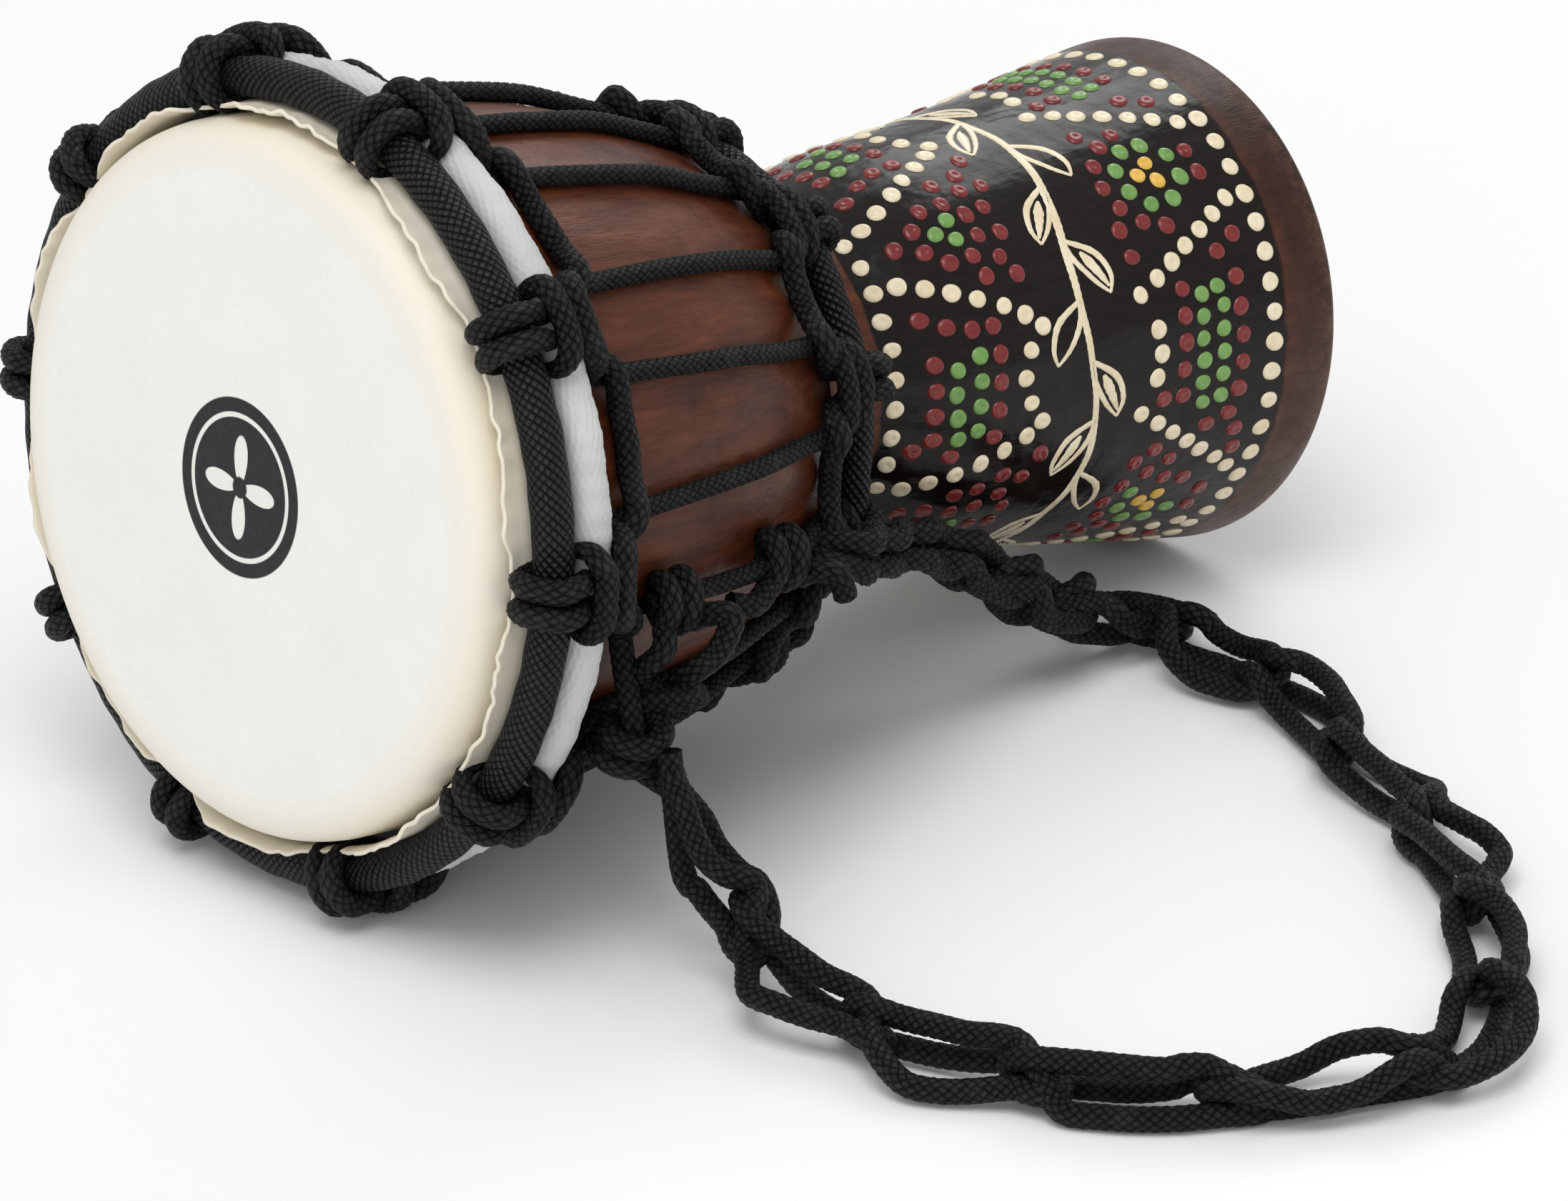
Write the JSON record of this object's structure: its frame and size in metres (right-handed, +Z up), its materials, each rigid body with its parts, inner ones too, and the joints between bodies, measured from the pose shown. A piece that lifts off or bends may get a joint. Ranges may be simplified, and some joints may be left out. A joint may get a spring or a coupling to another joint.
{
  "type": "djembe",
  "caption": "Small rope-tuned goblet hand drum lying on its side: carved wooden shell, skin head, taped rings, knotted rope lacing and a chained carrying strap laid on the floor.",
  "frame": {"origin": "on the floor, under the middle of the box round the drum without its strap", "axes": "+Z up; +X along the drum as it lies, from its playing face towards its foot (the drum's own axis points 7.3 degrees below +X); -Y towards the side the strap is laid on"},
  "size_m": [0.2125, 0.2544, 0.1348],
  "materials": {
    "wood": "stained dark red-brown, satin lacquer; black painted band with raised dots on the foot half",
    "skin": "matte off-white, cream at the trimmed edge",
    "steel": "plain mild steel rod, inside the skin and the tapes",
    "ring_tape": "black finely woven tube tape",
    "rope": "black braided polyester cord, slight sheen",
    "strap_rope": "black braided polyester cord, slight sheen"
  },
  "bodies": {
    "root": {"shell": "wood", "drumhead": "skin", "flesh_ring": "steel", "crown_ring": "steel", "crown_tape": "ring_tape", "bottom_ring": "steel", "bottom_tape": "ring_tape", "top_cradle_rope": "rope", "bottom_cradle_rope": "rope", "lacing_rope": "rope", "lacing_knot": "rope", "strap": "strap_rope", "strap_foot_knot": "strap_rope", "strap_head_knot": "strap_rope"}
  },
  "joints": []
}
